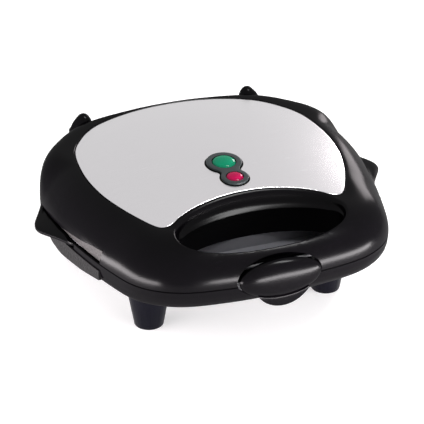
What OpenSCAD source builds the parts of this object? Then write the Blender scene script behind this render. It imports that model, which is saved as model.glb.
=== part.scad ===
// Two-slice sandwich toaster with a deep hinged lid, a steel top panel and a
// handle opening through the front of the lid. Millimetres, +Z up, front at -Y.
// The origin is on the table, under the middle of the outer box.

/* [Body] */
// Width of the body at the joint between lid and base, without the side tabs
body_w = 253; // [248:1:256]
// Distance between the tips of the two side tabs
tab_span = 280; // [278:1:284]
// Height of the joint between lid and base
joint_z = 66.6; // [66:0.1:67]
// Gap between the lid's lower edge and the base's upper edge
joint_gap = 0.4; // [0.3:0.1:0.6]
// Height of the lid's crown above the table
crown_z = 107.9; // [107:0.1:110]
// Wall thickness of the moulded shells
wall = 2.5; // [2.2:0.1:2.8]

/* [Handle opening] */
// Half width of the opening through the lid
opening_w = 64.5; // [60:0.5:65]
// Distance from the origin forward to the middle line of the opening
opening_y = 81; // [80:0.5:82]
// Depth of the opening in front of its middle line
opening_front = 26; // [24:0.5:26]
// Depth of the opening behind its middle line
opening_rear = 31; // [28:0.5:31]

/* [Plates] */
// Width of each cooking plate
plate_w = 200; // [196:1:202]
// Depth of each cooking plate, front to back
plate_d = 130; // [126:1:131]
// Middle of the plates behind the origin
plate_y = 28; // [27:0.5:29]
// Depth of the pockets for the bread
pocket_depth = 13; // [12:0.5:13]

/* [Feet] */
// Distance between the two feet of a pair
feet_span = 144; // [140:1:146]
// Radius of a foot near the table
foot_r = 11; // [10:0.5:12]
// Radius of a foot where it enters the base
foot_top_r = 17; // [16:0.5:18]

/* [Hinge] */
// Distance between the two hinge arms
hinge_span = 139; // [137:1:141]
// Place of the hinge axis behind the origin
hinge_y = 119.2; // [119:0.1:120]
// Height of the hinge axis
hinge_z = 59; // [58.5:0.5:59.5]
// Radius of the hinge pins
pin_r = 2.5; // [2:0.1:3]

/* [Latch] */
// Half width of the latch cap
latch_w = 31.6; // [30:0.1:32]
// Half height of the latch cap
latch_h = 14.5; // [14:0.1:15]
// Foremost point of the latch cap, in front of the origin
latch_front = 125.5; // [124:0.1:126]

/* [Hidden] */

run = 0.05;                               // radial clearance of a turning pin
lid_z = joint_z + joint_gap / 2;          // lower edge of the lid
rim_z = joint_z - joint_gap / 2;          // upper edge of the base
floor_z = 16;                             // underside of the base
steps = 3;                                // spline steps between two outline points
fine = 48;                                // segments of a full circle
gloss = [0.055, 0.052, 0.057];            // colours: glossy housing, matt black,
matt = [0.09, 0.09, 0.095];               // bright steel and zinc-plated steel
steel = [0.80, 0.79, 0.80];
zinc = [0.66, 0.66, 0.68];

// ---- outlines -------------------------------------------------------------

// Right half of each closed outline, from the front middle to the rear middle.
// The three lists have their points in the same directions, so that a skin can
// be stretched from one outline to the next.
rim_half = [[0, -117.5], [38, -115.6], [73, -108.3], [97, -90], [110, -60],
  [120.5, -18], [126.5, 25], [122.7, 66], [100.5, 96], [75.5, 112.6], [36, 117],
  [0, 117.7]];
crown_half = [[0, -78], [26, -77], [52, -73], [72, -63.5], [83, -42], [92.5, -18],
  [98.6, 25], [94.5, 62], [82, 85], [60, 102.6], [31, 110], [0, 112]];
floor_half = [[0, -42], [24, -42], [48, -40], [70, -32], [81, -16], [87, 5],
  [90, 30], [87, 62], [76, 86], [55, 98], [28, 102.5], [0, 103]];
// The steel panel's own outline, with the bite behind the handle opening
panel_half = [[0, -46.3], [20, -47.8], [40, -52.6], [55, -59.2], [61.5, -63.7],
  [67.6, -65], [73, -61.8], [80, -49.7], [88.6, -29.3], [95.7, -4], [98.3, 27],
  [94.2, 62], [84, 82.2], [66, 99.5], [34, 109.2], [0, 111.7]];

function widen(half) = [for (p = half) [p.x * body_w / 253, p.y]];
function both_sides(half) =
  concat(half, [for (i = [len(half) - 2:-1:1]) [-half[i].x, half[i].y]]);
// Catmull-Rom curve through the points of a closed outline
function bend(a, b, c, d, t) =
  0.5 * (2 * b + (c - a) * t + (2 * a - 5 * b + 4 * c - d) * t * t
    + (3 * b - a - 3 * c + d) * t * t * t);
function smooth(pts, n = steps) = let (m = len(pts))
  [for (i = [0:m - 1], k = [0:n - 1])
    bend(pts[(i + m - 1) % m], pts[i], pts[(i + 1) % m], pts[(i + 2) % m], k / n)];

rim = smooth(both_sides(widen(rim_half)));
crown = smooth(both_sides(widen(crown_half)));
underside = smooth(both_sides(widen(floor_half)));
panel = smooth(both_sides(widen(panel_half)));

function mix(a, b, t) = a + (b - a) * t;
function between(from, to, t) = [for (i = [0:len(from) - 1]) mix(from[i], to[i], t)];
// An outline drawn in by a distance, measured where it is widest
function shrink(outline, d) = outline * (1 - d / 120);
function lift(outline, z) = [for (p = outline) [p.x, p.y, z]];
// Height of the crown: highest over the plates and falling away to the edges
function crown_at(p) =
  crown_z - 10 * pow(p.x / 101.85, 2) - 8 * pow((p.y - 29) / 101.85, 2);
function on_crown(outline, drop) =
  [for (p = outline) [p.x, p.y, crown_at(p) - drop]];

// Outline of the handle opening: a blunt front half and an elliptical rear half
function opening(grow = 0) = [for (a = [0:7.5:352.5]) let (
    c = cos(a), s = sin(a), power = s < 0 ? 2 / 2.3 : 1,
    depth = s < 0 ? opening_front : opening_rear)
  [sign(c) * pow(abs(c), power) * (opening_w + grow),
    -opening_y + sign(s) * pow(abs(s), power) * (depth + grow)]];

// Oval of the latch, in the XZ plane
latch_z = 70;
function latch_oval(grow) = [for (a = [0:7.5:352.5])
  [cos(a) * (latch_w + grow), latch_z + sin(a) * (latch_h + grow)]];

// ---- solids used by several parts -----------------------------------------

// Closed solid through rings of equal length: the first and the last ring are
// closed with a fan of triangles, and each pair of rings with a strip.
module skin(rings) {
  n = len(rings[0]);
  m = len(rings);
  function middle(r) = [for (k = [0:2]) [for (p = r) p[k]] * [for (p = r) 1 / n]];
  points = concat([for (r = rings) each r], [middle(rings[0]), middle(rings[m - 1])]);
  strips = [for (i = [0:m - 2], j = [0:n - 1]) let (
      a = i * n + j, b = i * n + (j + 1) % n,
      c = (i + 1) * n + (j + 1) % n, d = (i + 1) * n + j)
    each [[a, d, c], [a, c, b]]];
  first_fan = [for (j = [0:n - 1]) [m * n, j, (j + 1) % n]];
  last_fan = [for (j = [0:n - 1])
    [m * n + 1, (m - 1) * n + (j + 1) % n, (m - 1) * n + j]];
  polyhedron(points, concat(strips, first_fan, last_fan), convexity = 6);
}

// Upright, and lying along Y or X: a drawn outline made a solid between two planes
module raise(low, high) translate([0, 0, low]) linear_extrude(high - low) children();
module slab_y(y0, y1) translate([0, y1, 0]) rotate([90, 0, 0])
  linear_extrude(y1 - y0) children();
module slab_x(x0, x1) translate([x0, 0, 0]) rotate([90, 0, 90])
  linear_extrude(x1 - x0) children();

// Rectangle with round corners, standing from one height to another
module rounded_block(w, d, r, low, high, y = plate_y)
  translate([0, y, 0]) raise(low, high) union() {
    square([w - 2 * r, d], center = true);
    square([w, d - 2 * r], center = true);
    for (sx = [-1, 1], sy = [-1, 1])
      translate([sx * (w / 2 - r), sy * (d / 2 - r)]) circle(r, $fn = fine);
  }

// Round bars along X, Y and Z
module bar_x(x0, x1, y, z, r)
  translate([x0, y, z]) rotate([0, 90, 0]) cylinder(h = x1 - x0, r = r, $fn = fine);
module bar_y(y0, y1, x, z, r)
  translate([x, y1, z]) rotate([90, 0, 0]) cylinder(h = y1 - y0, r = r, $fn = fine);
module bar_z(x, y, z0, z1, r)
  translate([x, y, z0]) cylinder(h = z1 - z0, r = r, $fn = fine);
module each_at(places) for (p = places) translate([p.x, p.y, 0]) children();

// Wire along straight runs, with a slightly thicker ball at each bend
module wire(path, r) {
  for (i = [0:len(path) - 2]) let (d = path[i + 1] - path[i], h = norm(d))
    translate(path[i]) rotate([0, acos(d.z / h), atan2(d.y, d.x)])
      cylinder(h = h, r = r, $fn = 24);
  for (i = [1:len(path) - 2]) translate(path[i]) sphere(r + 0.25, $fn = 24);
}

// ---- lid shell --------------------------------------------------------------

shoulder_steps = 6;
// Smooth step from 0 to 1 as a value goes from one end of a range to the other
function ease(low, high, v) = let (t = min(1, max(0, (v - low) / (high - low))))
  t * t * (3 - 2 * t);
// Power of the superellipse in the lid's shoulder: rounder at the sides than at
// the front, and much squarer at the rear corners
function squareness(y) = 2.1 - 0.4 * ease(-95, -45, y) + 3.1 * ease(45.5, 91, y);
function shoulder(u, inset) = let (
    low = shrink(rim, inset), high = shrink(crown, inset),
    bottom = lid_z - (inset > 0 ? 1 : 0))
  [for (i = [0:len(rim) - 1]) let (
      n = squareness(rim[i].y),
      p = mix(low[i], high[i], 1 - pow(cos(90 * u), 2 / n)),
      top = crown_at(crown[i]) - inset)
    [p.x, p.y, mix(bottom, top, pow(sin(90 * u), 2 / n))]];

panel_seat = 1.5;                         // depth of the seat under the steel panel
// The lid's outer form or, with an inset, the hollow inside it
module dome(inset) skin(concat(
  [for (k = [0:shoulder_steps]) shoulder(k / shoulder_steps, inset)],
  [for (k = [0.998, 0.8, 0.6, 0.4, 0.2])
    on_crown(shrink(crown, inset) * k, inset > 0 ? inset + panel_seat : 0)]));

// The panel's outline, scaled about the middle of the panel
function panel_at(k) = [for (p = panel) [p.x * k, 20 + (p.y - 20) * k]];
// Seat cut into the crown for the panel, a little wider than the panel is
module panel_pocket() skin(concat(
  [for (f = [0.2:0.2:1]) on_crown(panel_at(f * 1.005), panel_seat)],
  [for (f = [1, 0.5]) on_crown(panel_at(f * 1.005), -4)]));

boss_at = [[-104, -32], [104, -32], [-75, 99.5], [75, 99.5]];
boss_r = 4.5;                             // screw bosses of the shells
pilot_r = 1.6;                            // pilot holes for their screws
board_screw_at = [[-17, -18], [17, -18]];

latch_seat = 109.6;                       // depth of the latch's recess, from the origin
pivot_y = -111.3;                         // axis of the latch
pivot_z = 79;
latch_pin_r = 1.2;
module latch_recess(grow) slab_y(-140, -latch_seat) polygon(latch_oval(grow));

// Wedge-shaped notch in the side of the lid, tall at its front end. Each point
// of its top edge is given by its Y and by its height above the lid's edge.
notch_top = [[-50, 10.5], [-21, 6.4], [5, 3.8], [28, 2.7], [47, 1.6]];
notch_front = notch_top[0].x;
notch_rear = notch_top[4].x;
module side_notch(gap) for (x = [-145, 109]) slab_x(x, x + 36) polygon(concat(
  [for (p = notch_top)
    [min(max(p.x, notch_front + gap), notch_rear - gap), lid_z + p.y - gap]],
  [[notch_rear - gap, lid_z - 3], [notch_front + gap, lid_z - 3]]));

arm_x = hinge_span / 2;                   // middle of each hinge arm
arm_w = 14;                               // width of a hinge arm
arm_front = 112;                          // its face against the lid's rear wall
arm_screw_z = [77, 90];

module lid_shell() color(gloss)
  difference() {
    dome(0);
    difference() {
      dome(wall);
      raise(40, 120) polygon(opening(2.2));
      translate([-37, -125, 60]) cube([74, 24, 60]);
      each_at(boss_at) bar_z(0, 0, lid_z + frame_t, 120, boss_r);
      each_at(board_screw_at) bar_z(0, 0, board_z + board_t, 120, 3.5);
    }
    raise(40, 120) polygon(opening());
    panel_pocket();
    latch_recess(0.9);
    side_notch(0);
    bar_x(-36, 36, pivot_y, pivot_z, latch_pin_r);
    each_at(boss_at) bar_z(0, 0, 60, 84, pilot_r);
    each_at(board_screw_at) bar_z(0, 0, 90, 102, 1.2);
    lamp_place() linear_extrude(20, center = true) lobes(-1.5);
    for (sx = [-1, 1]) {
      translate([sx * arm_x - arm_w / 2, arm_front, 60]) cube([arm_w, 20, 60]);
      for (z = arm_screw_z) bar_y(105, arm_front + 1, sx * arm_x, z, pilot_r);
    }
  }

// ---- lamps and steel panel ----------------------------------------------------

lamp_middle = -18;                        // middle of the pair of lamps
lamp_gap = 22;                            // distance between the two lamps
lamp_r = [9, 6.5];                        // radius of the green and the red lens
bezel_r = [13.5, 10.3];                   // radius of the bezel's two lobes
board_z = 95;                             // underside of the lamps' carrier
board_t = 2.4;
neon_r = 2.3;

// Puts the children on the crown at the lamps, tilted as the crown is there
module lamp_place() translate([0, lamp_middle, crown_at([0, lamp_middle])])
  rotate([atan(16 * (29 - lamp_middle) / pow(101.85, 2)), 0, 0]) children();
function lamp_at(k) = (k == 0 ? 1 : -1) * lamp_gap / 2;

// Figure-of-eight outline made of two lobes and the narrow waist between them
module lobes(grow) {
  for (k = [0, 1]) translate([0, lamp_at(k)]) circle(bezel_r[k] + grow, $fn = fine);
  translate([-7 - grow, -10]) square([2 * (7 + grow), 14]);
}

module top_panel() color(steel)
  difference() {
    skin([for (k = concat([for (f = [0.2:0.2:1]) [f, 1]], [for (f = [1:-0.2:0.19]) [f, 0]]))
      on_crown(panel_at(k[0]), 0.1 + k[1])]);
    lamp_place() linear_extrude(20, center = true) lobes(-1.4);
  }

module lamp_bezel() color([0.16, 0.17, 0.18])
  lamp_place() difference() {
    union() {
      translate([0, 0, 0.1]) linear_extrude(1.4) lobes(0);
      translate([0, 0, -3]) linear_extrude(3.2) lobes(-1.6);
    }
    for (k = [0, 1]) bar_z(0, lamp_at(k), -10, 10, lamp_r[k]);
  }

// Lens with a straight skirt and a domed face
module lens(k) lamp_place() translate([0, lamp_at(k), -2.5]) rotate_extrude($fn = fine)
  intersection() {
    translate([0, -8.6]) circle(15, $fn = 96);
    square([lamp_r[k], 12]);
  }
module green_lens() color([0.0, 0.42, 0.27]) lens(0);
module red_lens() color([0.60, 0.0, 0.16]) lens(1);

module neon(k) translate([0, lamp_middle + lamp_at(k), board_z + board_t + neon_r]) {
  bar_x(-6, 2, 0, 0, neon_r);
  translate([2, 0, 0]) sphere(neon_r, $fn = fine);
}
module green_neon() color([0.85, 0.8, 0.7]) neon(0);
module red_neon() color([0.85, 0.7, 0.65]) neon(1);

module lamp_carrier() color([0.75, 0.72, 0.62])
  difference() {
    translate([-21, -38, board_z]) cube([42, 40, board_t]);
    each_at(board_screw_at) bar_z(0, 0, 90, 100, 1.5);
  }
module carrier_screws() color(zinc) each_at(board_screw_at) {
  bar_z(0, 0, board_z - 1.6, board_z, 2.8);
  bar_z(0, 0, board_z, 101.9, 1.2);
}

// ---- frames, plates and elements ---------------------------------------------

frame_t = 5;                              // thickness of the frames' flanges
plate_rim = 3.4;                          // thickness of the plates' rims
plate_t = 3;                              // thickness of the plates' pockets
element_r = 3.3;
reflector_t = 0.8;
// Distances from the joint to the element, the reflector's tabs and its floor
element_gap = pocket_depth + plate_t + element_r;
tab_gap = element_gap + 0.4;
reflector_gap = element_gap + element_r + 2.6;
pillar_at = [[-104, -2], [104, -2], [-104, 58], [104, 58]];
pillar_r = 3.5;                           // pillars that carry the reflectors
screw_r = 1.2;                            // their screws

// Flat flange inside a shell, cut back at the side grips
module flange(low) raise(low, low + frame_t) difference() {
  polygon(shrink(rim, wall + 1.9));
  difference() {
    translate([0, (notch_front + notch_rear) / 2])
      square([300, notch_rear - notch_front + 4], center = true);
    polygon(shrink(rim, 6));
  }
}

// Pillars hanging from a base flange; a lid's are the same, turned over
module pillars() each_at(pillar_at) difference() {
  bar_z(0, 0, -tab_gap, -joint_gap / 2 - frame_t + 1, pillar_r);
  bar_z(0, 0, -tab_gap - 1, -tab_gap + 7, screw_r);
}

// Hole for a plate that leaves a ledge behind the plate's rim, below the joint
module plate_hole() {
  rounded_block(plate_w - 6, plate_d - 6, 15, -20, 5);
  rounded_block(plate_w + 1, plate_d + 1, 18.5, -joint_gap / 2 - plate_rim, 5);
}

module lid_frame() color(matt) {
  difference() {
    flange(lid_z);
    translate([0, 0, joint_z]) mirror([0, 0, 1]) plate_hole();
    raise(50, 90) polygon(opening(2.5));
    translate([-38, -130, 50]) cube([76, 30, 40]);
    each_at(boss_at) bar_z(0, 0, 50, 90, 2.1);
    for (sx = [-1, 1])
      translate([sx * arm_x - arm_w / 2 - 0.2, arm_front - 0.2, 60]) cube([arm_w + 0.4, 20, 20]);
  }
  translate([0, 0, joint_z]) mirror([0, 0, 1]) pillars();
}

recess_w = 138;                           // recess in the base under the handle
recess_rear = -50;
recess_z = 57;
module recess(grow, low, high) raise(low, high) intersection() {
  polygon(shrink(between(rim, underside, 0.09), wall + 0.6));
  union() {
    translate([-recess_w / 2 - grow, -130])
      square([recess_w + 2 * grow, 130 + recess_rear - 14]);
    translate([14 - recess_w / 2, -130])
      square([recess_w - 28, 130 + recess_rear + grow]);
    for (sx = [-1, 1]) translate([sx * (recess_w / 2 - 14), recess_rear - 14])
      circle(14 + grow, $fn = fine);
  }
}

// Openings in the base frame for the levers behind the side tabs
module clip_slots() for (sx = [-1, 1])
  translate([sx * 118 - 13, clip_y - 14, 50]) cube([26, 28, 30]);

module base_frame() color(matt) {
  difference() {
    union() {
      flange(rim_z - frame_t);
      recess(2.2, recess_z - 2.5, rim_z);
    }
    recess(0, recess_z, 80);
    translate([0, 0, joint_z]) plate_hole();
    each_at(boss_at) bar_z(0, 0, 50, 90, 2.1);
    clip_slots();
    latch_recess(0.9);
  }
  translate([0, 0, joint_z]) pillars();
}

// Cast cooking plate for the base: a rim, two square pockets and, in each, a
// low ridge from corner to corner. It is turned over for the lid.
module plate() {
  pocket_w = plate_w / 2 - 14;
  pocket_d = plate_d - 20;
  top = -joint_gap / 2;
  difference() {
    union() {
      rounded_block(plate_w, plate_d, 18, top - plate_rim, top, 0);
      for (sx = [-1, 1]) translate([sx * plate_w / 4, 0, 0])
        rounded_block(pocket_w + 5, pocket_d + 5, 14, -pocket_depth - plate_t, -3, 0);
    }
    for (sx = [-1, 1]) translate([sx * plate_w / 4, 0, 0])
      rounded_block(pocket_w, pocket_d, 12, -pocket_depth, 5, 0);
  }
  for (sx = [-1, 1]) translate([sx * plate_w / 4, 0, -pocket_depth - 1])
    rotate([0, 0, sx * 52]) translate([-62, -2.5, 0])
      cube([124, 5, pocket_depth - 3.5]);
}
module lower_plate() color(matt) translate([0, plate_y, joint_z]) plate();
module upper_plate() color(matt)
  translate([0, plate_y, joint_z]) mirror([0, 0, 1]) plate();

// U-shaped tubular element; its cold ends point to the rear
element_x = 62;                           // its two legs
element_rear = plate_y + 58;              // its ends
module element(z) translate([0, plate_y, z]) {
  front = -34;
  bend_r = 22;
  for (sx = [-1, 1]) {
    translate([sx * (element_x - bend_r), front + bend_r, 0])
      rotate([0, 0, sx > 0 ? -90 : 180]) rotate_extrude(angle = 90, $fn = fine)
        translate([bend_r, 0]) circle(element_r, $fn = 24);
    bar_y(front + bend_r, element_rear - plate_y, sx * element_x, 0, element_r);
  }
  bar_x(-element_x + bend_r, element_x - bend_r, front, 0, element_r);
}
module lower_element() color([0.42, 0.40, 0.38]) element(joint_z - element_gap);
module upper_element() color([0.42, 0.40, 0.38]) element(joint_z + element_gap);

// Saddles between the element and the reflector's floor, and the reflector: a
// shallow steel tray with four tabs. Both are drawn as they hang in the lid.
module saddles() for (sx = [-1, 1], y = [27, 70])
  translate([sx * element_x, y, element_gap]) difference() {
    translate([-9, -6, 0]) cube([18, 12, reflector_gap - element_gap]);
    bar_y(-10, 10, 0, 0, element_r);
  }
module reflector() difference() {
  union() {
    rounded_block(176, 108, 12, tab_gap, reflector_gap + reflector_t);
    each_at(pillar_at) translate([0, 0, tab_gap])
      linear_extrude(reflector_t) circle(4.3, $fn = fine);
    for (sx = [-1, 1], y = [-2, 58])
      translate([sx * 94 - 10, y - 4.3, tab_gap]) cube([20, 8.6, reflector_t]);
  }
  rounded_block(176 - 2 * reflector_t, 108 - 2 * reflector_t, 11.2,
    tab_gap - 1, reflector_gap);
  each_at(pillar_at) bar_z(0, 0, tab_gap - 5, tab_gap + 5, screw_r);
  for (sx = [-1, 1]) bar_y(70, 100, sx * element_x, element_gap, element_r + 0.6);
  bar_z(sensor_at.x, sensor_at.y, tab_gap, reflector_gap + 5, sensor_r + 0.8);
}
module reflector_screws() each_at(pillar_at) {
  bar_z(0, 0, tab_gap + reflector_t, tab_gap + reflector_t + 1.6, 2.4);
  bar_z(0, 0, tab_gap - 6.5, tab_gap + reflector_t, screw_r);
}
module for_base() translate([0, 0, joint_z]) mirror([0, 0, 1]) children();
module for_lid() translate([0, 0, joint_z]) children();
module lower_element_clips() color(zinc) for_base() saddles();
module upper_element_clips() color(zinc) for_lid() saddles();
module lower_reflector() color(steel) for_base() reflector();
module upper_reflector() color(steel) for_lid() reflector();
module lower_reflector_screws() color(zinc) for_base() reflector_screws();
module upper_reflector_screws() color(zinc) for_lid() reflector_screws();

// Thermostat under the lower plate and thermal fuse over the upper plate
sensor_at = [28, 44];
sensor_r = 8;
module thermostat() color([0.85, 0.84, 0.80]) for_base() {
  bar_z(sensor_at.x, sensor_at.y, pocket_depth + plate_t, reflector_gap + 5, sensor_r);
  for (sy = [-1, 1]) translate([sensor_at.x - 1.5, sensor_at.y + sy * 5 - 0.5,
    reflector_gap + 4.9]) cube([3, 1, 6]);
}
module thermal_fuse() color([0.80, 0.76, 0.62]) for_lid()
  bar_z(sensor_at.x, sensor_at.y, pocket_depth + plate_t, reflector_gap + 2, sensor_r);

// ---- base -------------------------------------------------------------------

// Section of the base: how far each ring is drawn in from the rim's outline to
// the underside's outline, and its height. It ends at the flat underside.
base_section = [[0, rim_z], [0.008, 61], [0.03, 56], [0.07, 52], [0.14, 48.8],
  [0.28, 44.8], [0.5, 37], [0.8, 24.5], [0.94, 18.2], [1, floor_z]];
function base_ring(s, inset) =
  lift(shrink(between(rim, underside, s[0]), inset), s[1] + inset * 0.98);
module base_solid() skin(concat(
  [for (i = [len(base_section) - 1:-1:0]) base_ring(base_section[i], 0)]));
module base_hollow() skin(concat(
  [for (i = [9, 8, 7, 6, 5, 4, 3, 2]) base_ring(base_section[i], wall)],
  [lift(shrink(rim, wall), rim_z + 1)]));

front_foot_y = -38;
rear_foot_y = 86;
foot_top = 36;
module foot_cone(x, y, low, high) translate([x, y, low])
  cylinder(h = high - low, r1 = foot_r + (low - 1) / 35 * (foot_top_r - foot_r),
    r2 = foot_r + (high - 1) / 35 * (foot_top_r - foot_r), $fn = fine);

gland_x = -34;
gland_z = 45;
gland_half = 6;                           // half width of the bushing in its notch
// Section of the cord's bushing: straight sides up to a height, chamfered foot
module gland_outline(half, top) polygon([[gland_x - half, top],
  [gland_x - half, gland_z - half / 2], [gland_x - half / 2, gland_z - half],
  [gland_x + half / 2, gland_z - half], [gland_x + half, gland_z - half / 2],
  [gland_x + half, top]]);
// Ear of the base beside a hinge arm, bored for the pin
module hinge_ear(x) slab_x(x, x + 5) union() {
  translate([hinge_y, hinge_z]) circle(6.2, $fn = fine);
  translate([106, hinge_z - 6.2]) square([hinge_y - 106, 8.4]);
}

module base_shell() color(gloss)
  difference() {
    union() {
      difference() {
        base_solid();
        base_hollow();
      }
      for (sx = [-1, 1], side = [-1, 1])
        hinge_ear(sx * arm_x + side * (arm_w / 2 + 2.9) - 2.5);
      each_at([boss_at[0], boss_at[1]]) bar_z(0, 0, 47, rim_z - frame_t, boss_r);
      each_at([boss_at[2], boss_at[3]]) bar_z(0, 0, 43, rim_z - frame_t, boss_r);
    }
    for (sx = [-1, 1]) {
      bar_x(sx * arm_x - arm_w / 2 - 0.4, sx * arm_x + arm_w / 2 + 0.4,
        hinge_y, hinge_z, 7);
      bar_x(sx * arm_x - 13, sx * arm_x + 13, hinge_y, hinge_z, pin_r);
      translate([sx * 130 - 15, clip_front, clip_floor])
        cube([30, clip_rear - clip_front, 20]);
      for (y = [front_foot_y, rear_foot_y]) foot_cone(sx * feet_span / 2, y, 5, 40);
    }
    each_at(boss_at) bar_z(0, 0, 48, 70, pilot_r);
    base_grips(0.05);
    latch_recess(1.8);
    slab_y(100, 125) gland_outline(gland_half, 75);
  }

// Textured band set into the side of the base under the side tab
module base_grips(gap) for (sx = [-1, 1]) intersection() {
  slab_x(sx > 0 ? 100 : -140, sx > 0 ? 140 : -100)
    polygon([[-49 - gap, 60.9 + gap], [-49 - gap, 53], [-25, 50], [5, 48],
      [22, 49.5], [38, 55], [46 + gap, 60.9 + gap]]);
  raise(40, 70) difference() {
    polygon(shrink(rim, -0.5));
    polygon(shrink(rim, 1.4 + gap));
  }
}
module half_of(sx) intersection() {
  children();
  translate([sx > 0 ? 0 : -200, -200, 0]) cube([200, 400, 200]);
}
module base_grip_left() color([0.22, 0.21, 0.21]) half_of(-1) base_grips(0);
module base_grip_right() color([0.22, 0.21, 0.21]) half_of(1) base_grips(0);

module lid_grips() intersection() {
  side_notch(0.4);
  raise(lid_z + 0.5, lid_z + 20) difference() {
    polygon(shrink(rim, 2.3));
    polygon(shrink(rim, 5.4));
  }
}
module lid_grip_left() color([0.22, 0.21, 0.21]) half_of(-1) lid_grips();
module lid_grip_right() color([0.22, 0.21, 0.21]) half_of(1) lid_grips();

pad_top = 2.5;
module foot(x, y) difference() {
  foot_cone(x, y, 1, foot_top);
  bar_z(x, y, -1, pad_top, 6.5);
}
module front_foot_left() color([0.13, 0.13, 0.15]) foot(-feet_span / 2, front_foot_y);
module front_foot_right() color([0.13, 0.13, 0.15]) foot(feet_span / 2, front_foot_y);
module rear_foot_left() color([0.13, 0.13, 0.15]) foot(-feet_span / 2, rear_foot_y);
module rear_foot_right() color([0.13, 0.13, 0.15]) foot(feet_span / 2, rear_foot_y);
module foot_pads() color([0.1, 0.1, 0.1]) for (sx = [-1, 1])
  for (y = [front_foot_y, rear_foot_y]) bar_z(sx * feet_span / 2, y, 0, pad_top, 6.5);

// Screws that hold each frame to the bosses of its shell; head on the frame
module boss_screw(up) {
  mirror([0, 0, up > 0 ? 1 : 0]) {
    bar_z(0, 0, -frame_t - 9, 0.01 - frame_t, pilot_r);
    bar_z(0, 0, -frame_t, -2.4, 2.1);
  }
}
module base_screws() color(zinc) each_at(boss_at) translate([0, 0, rim_z]) boss_screw(-1);
module lid_screws() color(zinc) each_at(boss_at) translate([0, 0, lid_z]) boss_screw(1);

// Cord inlet: a bushing with a collar at each end. It slides down into a notch
// of the rear wall, and its tongue fills the notch up to the rim.
module cord_gland() color(matt) difference() {
  union() {
    slab_y(104, 121) gland_outline(gland_half, gland_z + gland_half);
    slab_y(117.6, 119.6) gland_outline(gland_half + 2, gland_z + gland_half + 2);
    slab_y(104, 106.6) gland_outline(gland_half + 1.8, gland_z + gland_half + 1.8);
    slab_y(115.6, 118.2) gland_outline(gland_half, rim_z - 0.2);
  }
  bar_y(100, 125, gland_x, gland_z, 3.6);
}

block_at = [-34, 78];                     // terminal block on the base's floor
module terminal_block() color([0.88, 0.87, 0.83])
  translate([block_at.x - 14, block_at.y - 8, floor_z + wall * 0.98])
    difference() {
      cube([28, 16, 12]);
      for (x = [5, 14, 23]) bar_y(-1, 17, x, 7, 1.9);
    }

// Leads from the gland through the terminal block to the element's ends
module base_wiring() color([0.65, 0.65, 0.6]) {
  z0 = floor_z + wall * 0.98 + 7;
  z1 = joint_z - element_gap;
  run_z = foot_top + 3;
  for (end = [-1, 1]) let (x = block_at.x + end * 9)
    wire([[x, block_at.y - 4, z0], [x, block_at.y - 13, z0], [x, block_at.y - 13, run_z],
      [end * element_x, block_at.y - 13, run_z], [end * element_x, element_rear + 4, run_z],
      [end * element_x, element_rear + 4, z1], [end * element_x, element_rear, z1]], 1.3);
  for (k = [-1, 1])
    wire([[gland_x + k * 1.9, 103.9, gland_z], [gland_x + k * 1.9, 95, gland_z],
      [gland_x + k * 9, 95, gland_z], [gland_x + k * 9, 95, z0],
      [gland_x + k * 9, block_at.y + 5, z0]], 1.3);
}

module hinge_pins() color(zinc) for (sx = [-1, 1])
  bar_x(sx * arm_x - 12.4, sx * arm_x + 12.4, hinge_y, hinge_z, pin_r);

// ---- side clips ----------------------------------------------------------------

// Each side tab is the outer end of a lever that rocks on a pin inside the
// base. Its inner end stops short of the plate.
clip_y = 17;                              // middle of the side tabs behind the origin
clip_axis_x = 117.5;
clip_axis_z = 61.6;
clip_floor = 61.6;                        // floor of the slot in the base's rim
clip_front = -14;                         // ends of the slot
clip_rear = 47;
clip_pin_r = 1.3;
// Outline of the tab on the right: how far each point lies inside the tip, and Y
tab_edge = [[26, -13], [18, -13], [11.5, -2.5], [5.4, 6.5], [1.2, 13], [0, 18.5],
  [0.5, 24], [2.6, 29.5], [6.2, 36.5], [10.2, 44.5], [14, 53], [17, 60], [26, 60]];
tab_low = 64.4;                           // underside of the tab
tab_high = 66.2;                          // top of its outer edge
// A ring of the tab, drawn in towards the body and raised there by a share t
function tab_ring(t, low) = [for (p = smooth(tab_edge)) let (
    x = tab_span / 2 - p.x, rise = sin(max(0, min(180, 180 * (p.y + 13) / 70))))
  [min(x, mix(x, 124, t)), p.y,
    low ? tab_low : tab_high + (0.3 + 1.9 * rise) * t * t]];
module tab() skin(concat([tab_ring(0, true)],
  [for (t = [0, 0.35, 0.6, 0.8, 1]) tab_ring(t, false)]));
module clip() difference() {
  union() {
    difference() {
      tab();
      raise(rim_z + 0.1, 80) polygon(shrink(rim, -0.4));
      raise(60, 80) polygon(shrink(rim, 2.6));
      raise(60, 80) difference() {
        polygon(shrink(rim, -0.4));
        translate([100, clip_front + 0.4]) square([40, clip_rear - clip_front - 0.8]);
      }
    }
    translate([clip_axis_x, clip_y - 12, 63.2]) cube([8, 24, 3.1]);
    bar_y(clip_y - 12, clip_y + 12, clip_axis_x, clip_axis_z, 2.8);
    translate([108, clip_y - 6, 60.2]) cube([10, 12, 2.6]);
  }
  bar_y(-10, 50, clip_axis_x, clip_axis_z, clip_pin_r + run);
}
module clip_right() color(gloss) clip();
module clip_left() color(gloss) mirror([1, 0, 0]) clip();
module clip_pins() color(zinc) for (sx = [-1, 1])
  bar_y(clip_y - 14, clip_y + 14, sx * clip_axis_x, clip_axis_z, clip_pin_r);

// ---- hinge arms -----------------------------------------------------------------

arm_top = 103.6;
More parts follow.
